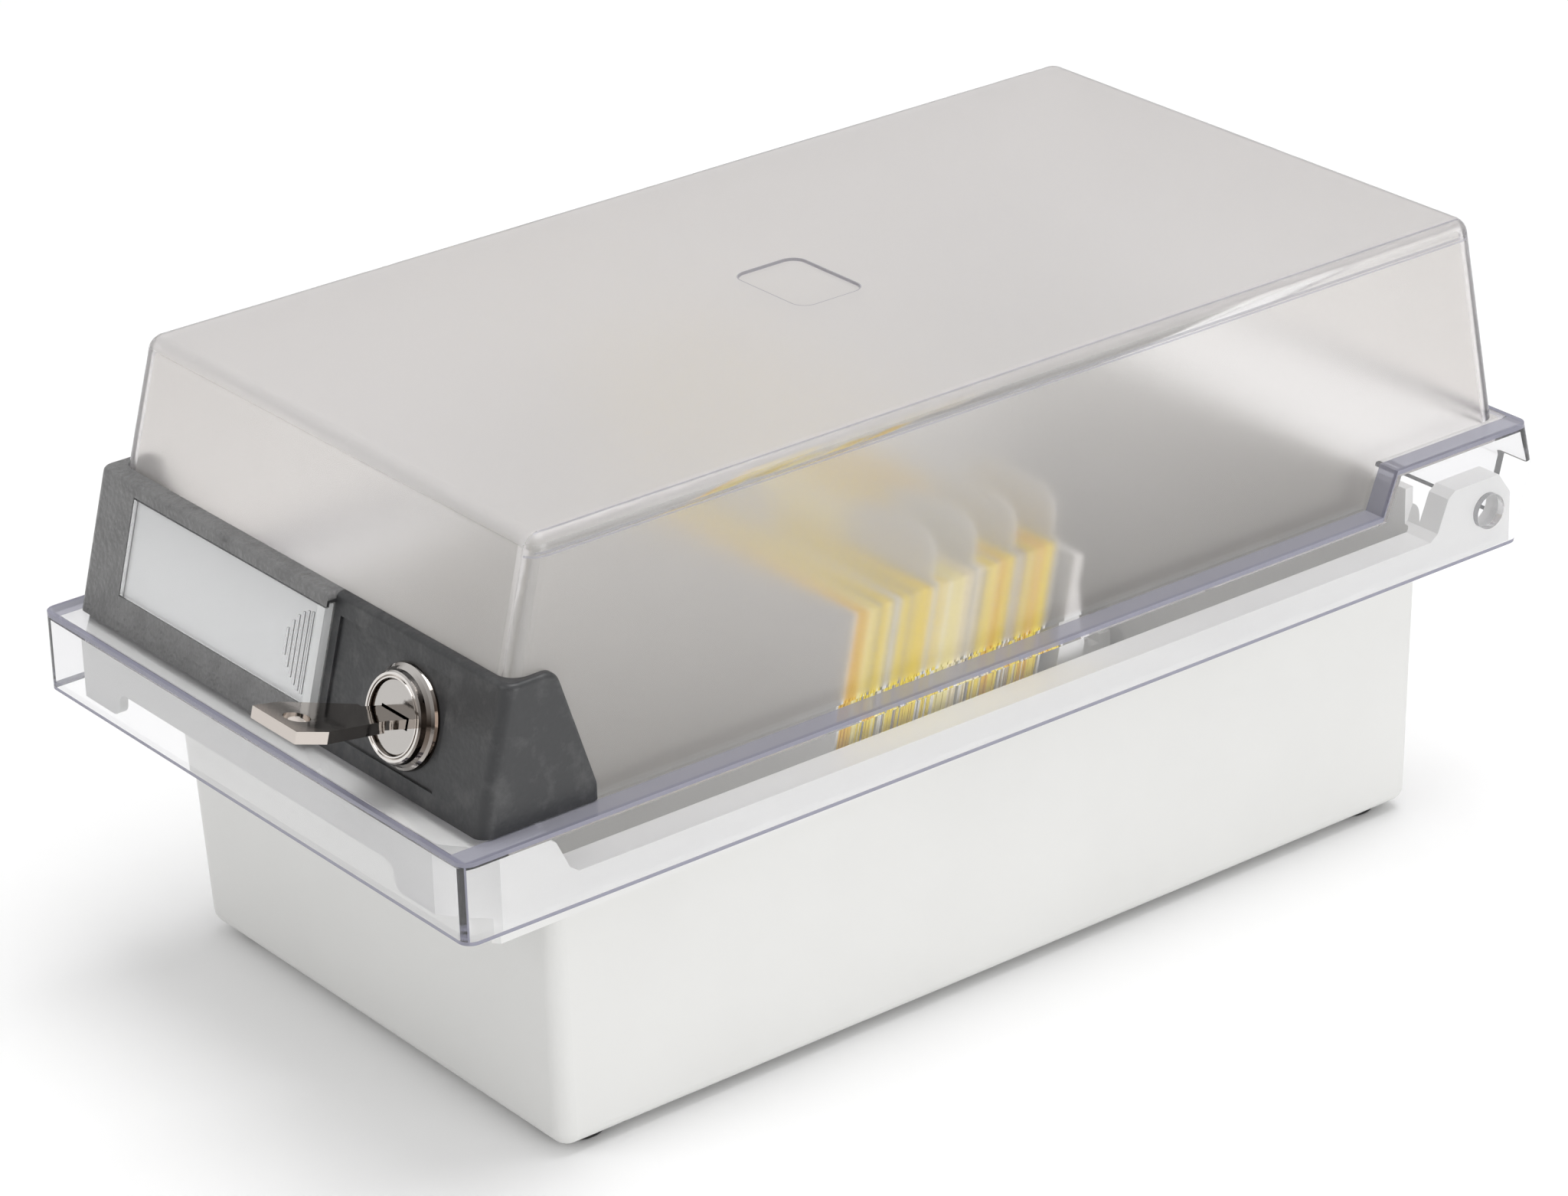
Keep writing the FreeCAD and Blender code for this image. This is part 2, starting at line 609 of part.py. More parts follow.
    keeper = sketch_on(body, "keeper", "XZ_Plane", "Dims.keeper_front")
    outline(keeper, [
        ("Dims.keeper_x", "Dims.rim_top - 6"),
        ("Dims.keeper_x + Dims.keeper_post", "Dims.rim_top - 6"),
        ("Dims.keeper_x + Dims.keeper_post", "Dims.keeper_mouth"),
        ("Dims.keeper_x + Dims.keeper_arm", "Dims.keeper_mouth"),
        ("Dims.keeper_x + Dims.keeper_arm", "Dims.keeper_top"),
        ("Dims.keeper_x", "Dims.keeper_top"),
    ])
    reach = "Dims.keeper_front - Dims.tray_rim_front + Dims.tray_wall"
    pad(body, "keeper_hook", keeper, reach, reversed_way=True)
    low = plan_section(body, "cavity_low", "Dims.tray_low + Dims.tray_wall",
                       "Dims.tray_foot_wide - 2 * Dims.tray_wall", "Dims.tray_foot_front - Dims.tray_wall",
                       "Dims.tray_foot_rear - Dims.tray_wall", "Dims.tray_corner - Dims.tray_wall")
    high = plan_section(body, "cavity_high", "Dims.rim_top + 1.5",
                        "Dims.tray_rim_wide - 2 * Dims.tray_wall", "Dims.tray_rim_front - Dims.tray_wall",
                        "Dims.tray_rim_rear - Dims.tray_wall", "Dims.tray_corner - Dims.tray_wall")
    loft(body, "cavity", low, high, cutting=True)
    rail_half = "Dims.rail_wide / 2"
    for side in ("", "-"):
        name = "west" if side else "east"
        rail = sketch_on(body, f"rail_{name}", "XY_Plane", "Dims.tray_low + Dims.tray_wall - 0.5")
        inner, outer = (f"{side}(Dims.rail_x - {rail_half})", f"{side}(Dims.rail_x + {rail_half})")
        rectangle(rail, inner, outer, "-Dims.rail_front", "Dims.rail_rear")
        pad(body, f"rail_{name}_rib", rail, "Dims.rail_top - Dims.tray_low - Dims.tray_wall + 0.5")
    tooth = sketch_on(body, "tooth", "XY_Plane", "Dims.rail_top")
    west, east = centred("2 * Dims.rail_x + Dims.rail_wide + 1")
    rectangle(tooth, west, east, "-(Dims.rail_front - 4)", "-(Dims.rail_front - 4 - Dims.tooth_gap)")
    first = pocket(body, "tooth_gap", tooth, "Dims.tooth_deep")
    teeth = body.newObject("PartDesign::LinearPattern", "tray_teeth")
    teeth.Originals = [first]
    along = [item for item in body.Origin.OriginFeatures if item.Role == "Y_Axis"][0]
    teeth.Direction = (along, [""])
    teeth.setExpression("Length", "Dims.tooth_pitch * (Dims.tooth_count - 1)")
    teeth.setExpression("Occurrences", "Dims.tooth_count")
    body.Tip = teeth
    doc.recompute()
    bore = sketch_on(body, "hinge_bore", "YZ_Plane")
    circle(bore, "Dims.hinge_y", "Dims.hinge_up", "Dims.hinge_hole")
    pocket_both(body, "hinge_holes", bore, "Dims.rim_wide + 2")
    for side in ("", "-"):
        for end in ("-", ""):
            name = ("west" if side else "east") + ("_front" if end else "_rear")
            seat = sketch_on(body, f"seat_{name}", "XY_Plane", "Dims.tray_low - 1")
            across, along = foot_place(side, end)
            circle(seat, across, along, "Dims.foot_radius + 0.05")
            pocket(body, f"foot_seat_{name}", seat, "1 + Dims.foot_tall - Dims.tray_low", reversed_way=True)
    return body


def foot_place(side, end):
    reach = "Dims.tray_foot_front" if end else "Dims.tray_foot_rear"
    return f"{side}(Dims.tray_foot_wide / 2 - Dims.foot_inset)", f"{end}({reach} - Dims.foot_inset)"


def make_foot(label, side, end):
    body = new_body(label)
    disc = sketch_on(body, "disc", "XY_Plane")
    across, along = foot_place(side, end)
    circle(disc, across, along, "Dims.foot_radius")
    pad(body, "disc_pad", disc, "Dims.foot_tall")
    return body


def make_panel():
    body = new_body("front_panel")
    tan = "tan(Dims.panel_lean)"
    low, top = "Dims.panel_low", "Dims.panel_top"
    side = sketch_on(body, "side", "YZ_Plane")
    outline(side, [
        (f"-(Dims.panel_front - ({low} - Dims.ledge_top) * {tan})", low),
        (f"-(Dims.panel_front - ({top} - Dims.ledge_top) * {tan})", top),
        ("-Dims.wing_top_rear", top),
        ("-Dims.wing_low_rear", "Dims.panel_low + 3"),
        ("-Dims.wing_low_rear", low),
    ])
    pad_both(body, "block", side, "Dims.panel_wide")
    raise_y = "Dims.label_raise / cos(Dims.panel_lean)"
    label = sketch_on(body, "label_side", "YZ_Plane")
    outline(label, [
        (f"-(Dims.panel_front - ({low} - Dims.ledge_top) * {tan} + {raise_y})", low),
        (f"-(Dims.panel_front - ({top} - Dims.ledge_top) * {tan} + {raise_y})", top),
        ("-(Dims.wing_top_rear + 1)", top),
        ("-(Dims.wing_top_rear + 1)", low),
    ])
    pad_sides(body, "label_block", label, "Dims.label_right", "Dims.panel_wide / 2")

    def wing_edge(edge):
        across, along, tall = span(edge)
        box = edge.BoundBox
        behind = box.YMin > -size("wing_top_rear") - 0.01
        return across > 100 and along < 0.01 and behind and box.ZMin > size("panel_low") + 1

    fillet(body, "wing_curves", "Dims.wing_curve", wing_edge)
    half = size("panel_wide") / 2

    def front_corner(edge):
        across, along, tall = span(edge)
        return across < 0.01 and tall > 20 and along > 4 and edge.BoundBox.YMax < -105 \
            and abs(abs(edge.BoundBox.XMin) - half) < 0.01

    fillet(body, "front_corners", "Dims.panel_corner", front_corner)

    def ridge(edge):
        box = edge.BoundBox
        return box.ZMin > size("panel_top") - 0.01 and box.YMax < -size("wing_top_rear") - 1

    fillet(body, "ridge_curve", "Dims.panel_ridge", ridge)
    gap = "Dims.panel_gap"
    foot = plan_section(body, "dome_foot", "Dims.ledge_top", f"Dims.dome_foot_wide + 2 * {gap}",
                        f"Dims.dome_foot_front + {gap}", f"Dims.dome_foot_rear + {gap}", "Dims.dome_corner")
    crown = plan_section(body, "dome_crown", "Dims.dome_top", f"Dims.dome_crown_wide + 2 * {gap}",
                         f"Dims.dome_crown_front + {gap}", f"Dims.dome_crown_rear + {gap}", "Dims.dome_corner")
    loft(body, "dome_inside", foot, crown, cutting=True)
    window = sketch_on_front(body, "window", "Dims.label_raise")
    rectangle(window, "-Dims.label_left", "Dims.label_right + 1", "Dims.label_low", "Dims.label_high")
    pocket(body, "window_opening", window, "Dims.label_lip + 0.1")
    channel = sketch_on_front(body, "channel", "Dims.label_raise - Dims.label_lip")
    rectangle(channel, "-Dims.label_left", "Dims.label_right + 1",
              "Dims.label_low - Dims.label_groove", "Dims.label_high + Dims.label_groove")
    pocket(body, "window_channel", channel, "Dims.label_raise - Dims.label_lip")
    seat = sketch_on_front(body, "label_seat", "0")
    rectangle(seat, "-Dims.label_left", "Dims.label_right - 0.2",
              "Dims.label_low - Dims.label_groove", "Dims.label_high + Dims.label_groove")
    pocket(body, "label_seat_sink", seat, "Dims.label_deep")
    inset = sketch_on_front(body, "inset", "0.5")
    rectangle(inset, "Dims.inset_left", "Dims.inset_right", "Dims.inset_low", "Dims.inset_high")
    pocket(body, "lock_inset", inset, "0.5 + Dims.inset_deep")
    hole = sketch_on_front(body, "lock_hole", "3")
    circle(hole, "Dims.lock_x", "Dims.lock_up", "Dims.barrel_radius + 0.1")
    pocket(body, "lock_bore", hole, "12")
    for name, up in (("low", "Dims.screw_low"), ("high", "Dims.screw_high")):
        hole = sketch_on_front(body, f"screw_hole_{name}", "Dims.label_raise - 0.5")
        circle(hole, "-Dims.screw_x", up, "Dims.screw_shank + 0.02")
        pocket(body, f"screw_bore_{name}", hole, "12")
    return body


def make_label_card():
    body = new_body("label_card")
    sheet_outline = sketch_on(body, "sheet", "XZ_Plane")
    groove = "(Dims.label_groove - 0.2)"
    rectangle(sheet_outline, "-(Dims.label_left - 0.3)", "Dims.label_right - 0.6",
              f"Dims.label_low - {groove}", f"Dims.label_high + {groove}")
    pad(body, "sheet_pad", sheet_outline, "0.3")
    put_on_front(body, "0", "0", "-Dims.label_deep")
    return body


def make_label_window():
    body = new_body("label_window")
    plate = sketch_on(body, "plate", "XZ_Plane")
    groove = "(Dims.label_groove - 0.3)"
    rectangle(plate, "-(Dims.label_left - 0.3)", "Dims.label_right - 0.3",
              f"Dims.label_low - {groove}", f"Dims.label_high + {groove}")
    pad(body, "plate_pad", plate, "0.9")
    face = sketch_on(body, "face", "XZ_Plane", "0.9")
    rectangle(face, "-(Dims.label_left - 0.3)", "Dims.label_right - 0.3",
              "Dims.label_low + 0.3", "Dims.label_high - 0.3")
    pad(body, "face_pad", face, "Dims.label_raise - 1.05")
    middle = "(Dims.label_low + Dims.label_high) / 2"
    for number in range(6):
        rib = sketch_on(body, f"rib_{number}", "XZ_Plane", "Dims.label_raise - 0.15")
        start = f"Dims.label_right - 9.8 + {number} * 1.3"
        reach = 7.5 - 0.2 * (5 - number) ** 2
        rectangle(rib, start, f"{start} + 0.45", f"{middle} - {reach}", f"{middle} + {reach}")
        pad(body, f"rib_{number}_pad", rib, "0.3")
    put_on_front(body, "0", "0", "0.15")
    return body


def revolved(label, name, points):
    """A turned piece about the lock's axis: first coordinate inwards, second the radius."""
    body = new_body(label)
    sketch = sketch_on(body, name, "YZ_Plane")
    outline(sketch, points)
    turn = body.newObject("PartDesign::Revolution", f"{label}_{name}_turn")
    turn.Profile = sketch
    axis = [item for item in body.Origin.OriginFeatures if item.Role == "Y_Axis"][0]
    turn.ReferenceAxis = (axis, [""])
    turn.Angle = 360
    doc.recompute()
    return body


def make_lock_barrel():
    body = revolved("lock_barrel", "section", [
        ("-Dims.bezel_out", "Dims.plug_bore"),
        ("-Dims.bezel_out", "Dims.plug_bore + 0.25"),
        ("-(Dims.bezel_out - 0.25)", "Dims.plug_bore + 0.4"),
        ("-Dims.bezel_out", "Dims.plug_bore + 0.55"),
        ("-Dims.bezel_out", "Dims.plug_bore + 1"),
        ("-(Dims.bezel_out - 0.3)", "Dims.plug_bore + 1.3"),
        ("-(Dims.bezel_out - 1.3)", "Dims.plug_bore + 1.5"),
        ("-(Dims.bezel_out - 1.9)", "Dims.bezel_radius - 0.7"),
        ("-(Dims.bezel_out - 2.3)", "Dims.bezel_radius - 0.2"),
        ("-(Dims.bezel_out - 2.8)", "Dims.bezel_radius"),
        ("0", "Dims.bezel_radius"),
        ("0", "Dims.barrel_radius"),
        ("Dims.barrel_long", "Dims.barrel_radius"),
        ("Dims.barrel_long", "Dims.plug_bore"),
    ])
    put_on_lock(body)
    return body


def make_lock_plug():
    body = revolved("lock_plug", "section", [
        ("-Dims.plug_face", "0"),
        ("-Dims.plug_face", "Dims.plug_radius - 0.3"),
        ("-(Dims.plug_face - 0.3)", "Dims.plug_radius"),
        ("Dims.barrel_long", "Dims.plug_radius"),
        ("Dims.barrel_long", "0"),
    ])
    tail = sketch_on(body, "tail", "XZ_Plane", "-Dims.barrel_long")
    west, east = centred("Dims.tail_side")
    rectangle(tail, west, east, west, east)
    pad(body, "tail_pad", tail, "Dims.tail_end - Dims.barrel_long", reversed_way=True)
    keyway = sketch_on(body, "keyway", "XZ_Plane", "Dims.plug_face")
    west, east = centred("Dims.keyway_wide")
    south, north = centred("Dims.keyway_tall")
    rectangle(keyway, west, east, south, north)
    pocket(body, "keyway_slot", keyway, "Dims.plug_face + Dims.keyway_end")
    thread = sketch_on(body, "thread", "XZ_Plane", "-Dims.tail_end")
    circle(thread, "0", "0", "Dims.cam_screw_shank + 0.02")
    pocket(body, "thread_hole", thread, "Dims.tail_end - Dims.cam_screw_tip + 0.2", reversed_way=True)
    put_on_lock(body)
    return body


def make_lock_nut():
    body = new_body("lock_nut")
    hexagon = sketch_on(body, "hexagon", "XZ_Plane", "-Dims.nut_start")
    corner = "Dims.nut_flats / 2 / cos(30)"
    half = f"{corner} / 2"
    flat = "Dims.nut_flats / 2"
    outline(hexagon, [
        (f"{corner}", "0"), (f"{half}", flat), (f"-({half})", flat),
        (f"-({corner})", "0"), (f"-({half})", f"-({flat})"), (f"{half}", f"-({flat})"),
    ])
    circle(hexagon, "0", "0", "Dims.barrel_radius + 0.03")
    pad(body, "hexagon_pad", hexagon, "Dims.nut_thick", reversed_way=True)
    put_on_lock(body)
    return body


def make_lock_cam():
    body = new_body("lock_cam")
    plate = sketch_on(body, "plate", "XZ_Plane", "-Dims.cam_start")
    west, east = centred("Dims.cam_wide")
    rectangle(plate, west, east, "-(Dims.cam_reach)", "Dims.cam_wide / 2 + 1")
    pad(body, "plate_pad", plate, "Dims.cam_thick", reversed_way=True)
    hole = sketch_on(body, "square_hole", "XZ_Plane", "-Dims.cam_start + 1")
    west, east = centred("Dims.tail_side + 0.04")
    rectangle(hole, west, east, west, east)
    pocket(body, "square_hole_cut", hole, "Dims.cam_thick + 2")

    def plate_corner(edge):
        across, along, tall = span(edge)
        at_side = abs(abs(edge.BoundBox.XMin) - size("cam_wide") / 2) < 0.01
        return at_side and abs(along - size("cam_thick")) < 0.01

    fillet(body, "plate_corners", "Dims.cam_wide / 2 - 0.6", plate_corner)
    put_on_lock(body)
    return body


def make_cam_screw():
    start = "Dims.tail_end + 0.08"
    body = revolved("cam_screw", "section", [
        ("Dims.cam_screw_tip", "0"),
        ("Dims.cam_screw_tip", "Dims.cam_screw_shank"),
        (start, "Dims.cam_screw_shank"),
        (start, "Dims.cam_screw_head"),
        (f"{start} + Dims.cam_screw_thick - 0.6", "Dims.cam_screw_head"),
        (f"{start} + Dims.cam_screw_thick", "Dims.cam_screw_head - 1"),
        (f"{start} + Dims.cam_screw_thick", "0"),
    ])
    put_on_lock(body)
    return body


def make_key():
    body = new_body("key")
    blade = sketch_on(body, "blade", "XY_Plane")
    outline(blade, [
        ("-Dims.blade_half", "-Dims.bow_neck"),
        ("Dims.blade_half", "-Dims.bow_neck"),
        ("Dims.blade_half", "Dims.blade_tip - 7.6"),
        ("Dims.blade_half - 1.1", "Dims.blade_tip - 6.9"),
        ("Dims.blade_half", "Dims.blade_tip - 6.2"),
        ("Dims.blade_half", "Dims.blade_tip - 5.2"),
        ("Dims.blade_half - 1.6", "Dims.blade_tip - 4.3"),
        ("Dims.blade_half", "Dims.blade_tip - 3.4"),
        ("Dims.blade_half", "Dims.blade_tip - 2"),
        ("1", "Dims.blade_tip"),
        ("-1", "Dims.blade_tip"),
        ("-Dims.blade_half", "Dims.blade_tip - 2"),
    ])
    pad_both(body, "blade_pad", blade, "Dims.blade_thick")
    bow = sketch_on(body, "bow", "XY_Plane")
    outline(bow, [
        ("-(Dims.blade_half + 0.6)", "-(Dims.bow_neck - 1.5)"),
        ("Dims.blade_half + 0.6", "-(Dims.bow_neck - 1.5)"),
        ("Dims.bow_half", "-Dims.bow_wide_at"),
        ("Dims.bow_end_half", "-Dims.bow_end"),
        ("-Dims.bow_end_half", "-Dims.bow_end"),
        ("-Dims.bow_half", "-Dims.bow_wide_at"),
    ])
    pad_both(body, "bow_pad", bow, "Dims.bow_thick")
    hole = sketch_on(body, "hole", "XY_Plane", "3")
    circle(hole, "0", "-Dims.bow_hole_at", "Dims.bow_hole")
    pocket(body, "hole_cut", hole, "6")
    put_on_lock(body)
    return body


def make_panel_screws():
    """Two identical screws that hold the panel from inside the lid."""
    head_at = 4.1
    shapes = []
    for up in (size("screw_low"), size("screw_high")):
        shank = Part.makeCylinder(size("screw_shank"), head_at + 1.1, V(0, -1.1, 0), V(0, 1, 0))
        head = Part.makeCylinder(size("screw_head"), 1.2, V(0, head_at, 0), V(0, 1, 0))
        screw = shank.fuse(head).removeSplitter()
        screw.translate(V(-size("screw_x"), 0, up))
        shapes.append(screw)
    both = Part.makeCompound(shapes)
    both.rotate(V(0, 0, 0), V(1, 0, 0), -size("panel_lean"))
    both.translate(V(0, -size("panel_front"), size("ledge_top")))
    item = doc.addObject("Part::Feature", "panel_screws")
    item.Label = "panel_screws"
    item.Shape = both
    return item


def make_cards(label, number):
    """One bundle of cards: an upright stack sheared back onto the support plate."""
    body = new_body(label)
    rise = "Dims.card_tall * cos(Dims.card_lean)"
    lean = "Dims.card_tall * sin(Dims.card_lean)"
    thick = "Dims.stack_pitch - Dims.divider_thick - 0.4"
    side = sketch_on(body, "side", "YZ_Plane")
    outline(side, [("0", "0"), (lean, rise), (f"{lean} + {thick}", rise), (thick, "0")])
    pad_both(body, "bundle", side, "Dims.card_wide")
    body.Placement = FreeCAD.Placement(V(0, 1, 1), FreeCAD.Rotation())
    front = f"Dims.stack_front - {number} * Dims.stack_pitch - Dims.divider_thick - 0.1"
    body.setExpression("Placement.Base.y", f"-({front})")
    body.setExpression("Placement.Base.z", "Dims.rail_top + 0.3")
    return body


def make_divider(label, y_text, tab_x):
    """A stiff index sheet with a rounded tab standing above the cards."""
    body = new_body(label)
    face = sketch_on(body, "face", "XZ_Plane")
    west, east = centred("Dims.card_wide")
    rectangle(face, west, east, "0", "Dims.card_tall")
    pad(body, "face_pad", face, "Dims.divider_thick", reversed_way=True)
    tab = sketch_on(body, "tab", "XZ_Plane")
    ends = []
    for turn in (-1, 1):
        end = tab_x + turn * size("tab_wide") / 2
        text = f"{abs(tab_x)} {'+' if turn * tab_x > 0 else '-'} Dims.tab_wide / 2"
        if abs(tab_x) < size("tab_wide") / 2 and turn * tab_x < 0:
            text = f"Dims.tab_wide / 2 - {abs(tab_x)}"
        ends.append(f"-({text})" if end < 0 else text)
    rectangle(tab, ends[0], ends[1], "Dims.card_tall - 1", "Dims.card_tall + Dims.tab_tall")
    pad(body, "tab_pad", tab, "Dims.divider_thick", reversed_way=True)
    top = size("card_tall") + size("tab_tall")

    def tab_corner(edge):
        across, along, tall = span(edge)
        return across < 0.01 and tall < 0.01 and edge.BoundBox.ZMax > top - 0.01

    fillet(body, "tab_corners", "Dims.tab_round", tab_corner)
    body.Placement = FreeCAD.Placement(V(0, 1, 1), FreeCAD.Rotation(V(-1, 0, 0), 12.5))
    body.setExpression("Placement.Base.y", y_text)
    body.setExpression("Placement.Base.z", "Dims.rail_top + 0.41")
    body.setExpression("Placement.Rotation.Angle", "Dims.card_lean")
    return body


def make_support_plate():
    body = new_body("support_plate")
    face = sketch_on(body, "face", "XZ_Plane")
    west, east = centred("Dims.plate_wide")
    rectangle(face, west, east, "0", "Dims.plate_tall")
    pad(body, "face_pad", face, "Dims.plate_thick", reversed_way=True)
    for side in ("", "-"):
        name = "west" if side else "east"
        rib = sketch_on(body, f"rib_{name}", "YZ_Plane")
        outline(rib, [
            ("0", "0"), ("Dims.plate_flange + Dims.plate_thick", "0"),
            ("Dims.plate_flange + Dims.plate_thick", "Dims.plate_tall * 0.75"), ("0", "Dims.plate_tall"),
        ])
        start = f"{side}Dims.plate_wide / 2"
        rib.setExpression("AttachmentOffset.Base.z", start)
        pad(body, f"rib_{name}_pad", rib, "1.8", reversed_way=not side)
    bar = sketch_on(body, "bar", "XZ_Plane", "-Dims.plate_thick")
    rectangle(bar, west, east, "Dims.plate_tall * 0.45", "Dims.plate_tall * 0.45 + 1.8")
    pad(body, "bar_pad", bar, "Dims.plate_flange", reversed_way=True)
    body.Placement = FreeCAD.Placement(V(0, 1, 1), FreeCAD.Rotation(V(-1, 0, 0), 12.5))
    body.setExpression("Placement.Base.y", "Dims.plate_y")
    body.setExpression("Placement.Base.z", "Dims.rail_top + 1.6")
    body.setExpression("Placement.Rotation.Angle", "Dims.card_lean")
    return body


def make_all():
    made = [make_tray(), make_lid(), make_panel(), make_label_card(), make_label_window()]
    made += [make_lock_barrel(), make_lock_plug(), make_lock_nut(), make_lock_cam(), make_cam_screw()]
    made += [make_key(), make_panel_screws(), make_support_plate()]
    for end, front in (("front", "-"), ("rear", "")):
        for hand, side in (("left", "-"), ("right", "")):
            made.append(make_foot(f"foot_{end}_{hand}", side, front))
    for number, tab_x in enumerate(TAB_PLACES):
        place = f"-(Dims.stack_front - {number} * Dims.stack_pitch)"
        made.append(make_divider(f"divider_{number + 1}", place, tab_x))
    for number in range(len(TAB_PLACES) - 1):
        made.append(make_cards(f"cards_{number + 1}", number))
    return made


def write_parts(made):
    doc.recompute()
    for item in doc.Objects:
        if "Invalid" in item.State or "Error" in item.State:
            raise RuntimeError(f"{item.Name} is {item.State}")
    for item in made:
        shape = item.Shape
        if shape.isNull() or not shape.isValid():
            raise RuntimeError(f"{item.Label} has no valid shape")
        shape.exportStep(f"parts/{item.Label}.step")
        print(item.Label, len(shape.Solids), round(shape.Volume, 1), shape.BoundBox)


write_parts(make_all())
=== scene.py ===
import math
import random

import bmesh
import bpy
from mathutils import Matrix, Vector


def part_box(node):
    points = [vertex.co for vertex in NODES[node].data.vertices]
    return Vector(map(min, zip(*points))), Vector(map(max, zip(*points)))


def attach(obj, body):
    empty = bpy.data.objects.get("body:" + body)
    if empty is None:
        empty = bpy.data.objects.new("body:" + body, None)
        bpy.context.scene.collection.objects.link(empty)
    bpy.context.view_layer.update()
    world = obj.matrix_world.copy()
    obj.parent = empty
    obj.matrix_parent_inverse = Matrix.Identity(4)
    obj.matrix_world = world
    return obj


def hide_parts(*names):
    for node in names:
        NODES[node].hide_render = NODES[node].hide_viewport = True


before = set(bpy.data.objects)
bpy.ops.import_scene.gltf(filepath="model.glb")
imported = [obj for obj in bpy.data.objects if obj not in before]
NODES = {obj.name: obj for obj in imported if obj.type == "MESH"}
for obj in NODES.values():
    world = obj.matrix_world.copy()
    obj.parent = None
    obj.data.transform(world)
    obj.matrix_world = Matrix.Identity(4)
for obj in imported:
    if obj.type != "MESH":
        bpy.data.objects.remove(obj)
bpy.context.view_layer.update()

# Viewing angle and lens
AZIMUTH = math.radians(52.29)
ELEVATION = math.radians(25.14)
ROLL = math.radians(-1.60)
LENS = 124.8
SENSOR_WIDE = 36.0
DISTANCE = 1.0035
TARGET = Vector((0.0095, -0.0128, 0.0644))

# The lid's dome, ledge and skirt
DOME_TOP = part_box("lid")[1].z
LEDGE_TOP = DOME_TOP - 0.0505
DOME_HALF = 0.0609
DOME_FRONT = 0.1170
DOME_REAR = 0.1222
SIDE_DRAFT = 0.0218
FRONT_DRAFT = 0.2693
SKIRT_HALF = 0.0665
SKIRT_REACH = 0.1255
SKIRT_LOW = 0.0550
REAR_WAIST = 0.0694
REAR_LEAN = 0.27
STEP_START = 0.0850
STEP_END = 0.0885
STEP_RISE = 0.0085

# How far from a cut edge of the skirt its violet tone reaches
SIDE_REACH = 0.0008
END_REACH = 0.0010
HEM_REACH = 0.0007
LEDGE_SKIN = 0.0004

# Clearer strips, fine lines and the pad on the dome
STRIP_HALF = 0.0597 - 0.0021
STRIP_LOW = DOME_TOP - 0.0037
CORNER_STRIP = 0.0025
LINE_HALF = 0.0002
PAD_HALF_WIDE = 0.0105
PAD_HALF_LONG = 0.0075
PAD_ROUND = 0.0030

# How much of each effect the lid's plastic shows
FROST_ROUGH = 0.19
TOP_ROUGH = 0.14
CLEAR_ROUGH = 0.02
# FROST_HAZE grows with height up the frosted walls, painting them lighter towards the top.
FROST_HAZE = 0.15
# TOP_HAZE lightens the top face with extra haze, which is painted light.
TOP_HAZE = 0.22
CLEAR_HAZE = 0.02
STRIP_CLEAR = 0.55
# The violet on cut edges and ledges is painted: a dark violet tone standing in for light seen through
# the plastic's thickness there.
EDGE_PAINTED_VIOLET = 0.8
LEDGE_PAINTED_VIOLET = 0.7
LINE_VIOLET = 0.5
FROST_GRAIN = 0.30
LIGHT_PASSED = 0.88
TOP_SHADE = 0.5
VOLUME_DENSITY = 18.0

# Tones of the lid's plastic
CLEAR_TONE = (0.955, 0.955, 0.955)
FROST_TONE = (0.90, 0.88, 0.86)
# The top face's darker tone is painted shade, toning down its brightness under the overhead lamp.
TOP_PAINTED_SHADE = (0.85, 0.83, 0.815)
# VIOLET_TONE is partly painted light: on cut edges and ledges it stands in for light seen through the
# plastic's thickness; on the fine lines it is their own tone.
VIOLET_TONE = (0.13, 0.13, 0.22)
VOLUME_TONE = (0.62, 0.61, 0.82, 1.0)

# Where the window's finger grip and the panel's smooth side begin
GRIP_START = 0.0095
LABEL_STEP = 0.012

# The window and its hazier finger grip
WINDOW_TONE = (0.96, 0.96, 0.97)
GRIP_TONE = (0.72, 0.73, 0.73)
WINDOW_CLEAR = 0.95
GRIP_HAZE = 0.8
WINDOW_PASSED = 0.9
GRIP_SHADE = 0.3

# The panel's grain, weak round the lock and stronger beside the label
GRAIN_BASE = 0.12
GRAIN_EXTRA = 0.65
PATCH_BASE = 0.4
PANEL_TONES = (
    (0.20, (0.034, 0.035, 0.037)),
    (0.45, (0.145, 0.145, 0.145)),
    (0.80, (0.185, 0.185, 0.185)),
)

# Tones of the tray's faint unevenness
TRAY_TONES = ((0.3, (0.75, 0.75, 0.735)), (0.7, (0.775, 0.775, 0.76)))

SMOOTH_ANGLE = math.radians(28)

# Loose sheets in each bundle of cards
CARD_LEAN = math.radians(12.5)
SHEET_COUNT = 24
SHEET_FILL = 0.86
USUAL_SHARE = 0.80
SHEET_DROP = 0.0007
SHEET_SHIFT = 0.0005
SHEET_COLOURS = {
    "gold": (0.93, 0.60, 0.04),
    "yellow": (1.00, 0.80, 0.07),
    "pale": (1.00, 0.91, 0.42),
    "white": (0.95, 0.95, 0.92),
    "cream": (0.98, 0.90, 0.66),
    "tan": (0.62, 0.52, 0.36),
    "grey": (0.40, 0.40, 0.42),
}
BUNDLES = (
    ("gold", "gold", "pale", "yellow", "yellow", "yellow"),
    ("yellow", "yellow", "yellow", "yellow"),
    ("yellow", "pale", "pale", "cream"),
    ("cream", "yellow", "gold", "yellow"),
    ("tan", "yellow", "gold", "yellow"),
)
ODD_SHEETS = ("white", "tan", "grey", "white", "pale")
SHEET_QUADS = ((0, 1, 2, 3), (7, 6, 5, 4), (0, 3, 7, 4), (1, 5, 6, 2), (3, 2, 6, 7), (0, 4, 5, 1))

